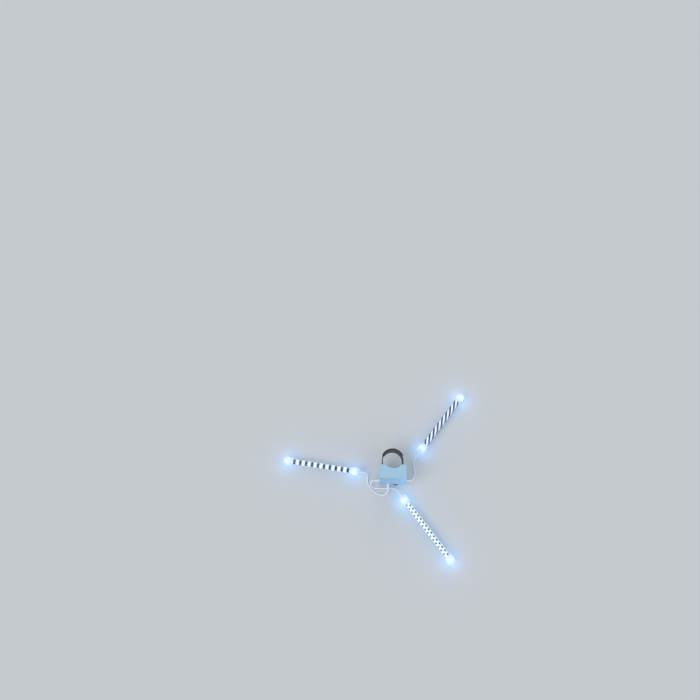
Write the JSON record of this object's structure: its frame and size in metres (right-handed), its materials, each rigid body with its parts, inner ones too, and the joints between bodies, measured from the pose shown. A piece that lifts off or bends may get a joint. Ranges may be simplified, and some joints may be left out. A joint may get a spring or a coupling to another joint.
{
  "type": "spoke wheel light",
  "caption": "Bicycle spoke light kit: clear printed light sticks with snap clips for the spokes, wired to a battery pack that straps to the wheel hub.",
  "frame": {"origin": "on the wheel's axle, at the middle of the hub strap", "axes": "+Z along the axle, up from the surface the kit lies on; +X to the right and +Y up in the wheel as the picture shows it"},
  "size_m": [0.274, 0.2462, 0.064],
  "materials": {
    "clear_tube": "clear acrylic",
    "film": "white diffusing film, lit",
    "ink": "dark blue print",
    "cap": "frosted moulding, lit",
    "led": "clear epoxy, lit",
    "holder": "white moulding",
    "copper": "enamelled wire",
    "lead": "white flexible cord",
    "case": "pale blue moulding",
    "steel": "plated",
    "rubber": "matt",
    "cell": "printed sleeve",
    "contact": "nickel plated",
    "board": "solder mask",
    "resistor": "lacquer",
    "wire": "insulated wire",
    "switch": "moulded",
    "strap": "woven hook and loop"
  },
  "bodies": {
    "kit": {"tube_bars": "clear_tube", "film_bars": "film", "print_bars": "ink", "outer_cap_bars": "cap", "inner_cap_bars": "cap", "outer_led_bars": "led", "inner_led_bars": "led", "outer_holder_bars": "holder", "inner_holder_bars": "holder", "wires_bars": "copper", "relief_bars": "lead", "lead_bars": "lead", "tube_diagonals": "clear_tube", "film_diagonals": "film", "print_diagonals": "ink", "outer_cap_diagonals": "cap", "inner_cap_diagonals": "cap", "outer_led_diagonals": "led", "inner_led_diagonals": "led", "outer_holder_diagonals": "holder", "inner_holder_diagonals": "holder", "wires_diagonals": "copper", "relief_diagonals": "lead", "lead_diagonals": "lead", "tube_dots": "clear_tube", "film_dots": "film", "print_dots": "ink", "outer_cap_dots": "cap", "inner_cap_dots": "cap", "outer_led_dots": "led", "inner_led_dots": "led", "outer_holder_dots": "holder", "inner_holder_dots": "holder", "wires_dots": "copper", "relief_dots": "lead", "lead_dots": "lead", "pack_base": "case", "control_cover": "case", "case_screws": "steel", "cell_left": "cell", "cell_middle": "cell", "cell_right": "cell", "contact_plates": "contact", "contact_springs": "contact", "circuit_board": "board", "resistors": "resistor", "pack_wires": "wire", "switch_body": "switch", "pack_reliefs": "lead", "saddle_pad": "rubber", "strap_loop": "strap", "strap_hook": "strap"},
    "power_button": {"power_button": "rubber", "switch_plunger": "holder"},
    "battery_door": {"battery_door": "case", "door_seal": "rubber"},
    "door_screw_low": {"door_screw_low": "steel"},
    "door_screw_top": {"door_screw_top": "steel"}
  },
  "joints": [
    {"name": "power_button_press", "type": "slide", "parent": "kit", "child": "power_button", "axis": [0, 1, 0], "range_m": [0, 0.0008], "stiffness_N_per_m": 1500},
    {"name": "battery_door_lift", "type": "slide", "parent": "kit", "child": "battery_door", "axis": [0, -1, 0], "range_m": [0, 0.008]},
    {"name": "door_screw_low_turn", "type": "hinge", "parent": "battery_door", "child": "door_screw_low", "pos_m": [0, -0.0284, -0.0202], "axis": [0, -1, 0], "continuous": true},
    {"name": "door_screw_top_turn", "type": "hinge", "parent": "battery_door", "child": "door_screw_top", "pos_m": [0, -0.0284, 0.0302], "axis": [0, -1, 0], "continuous": true}
  ]
}
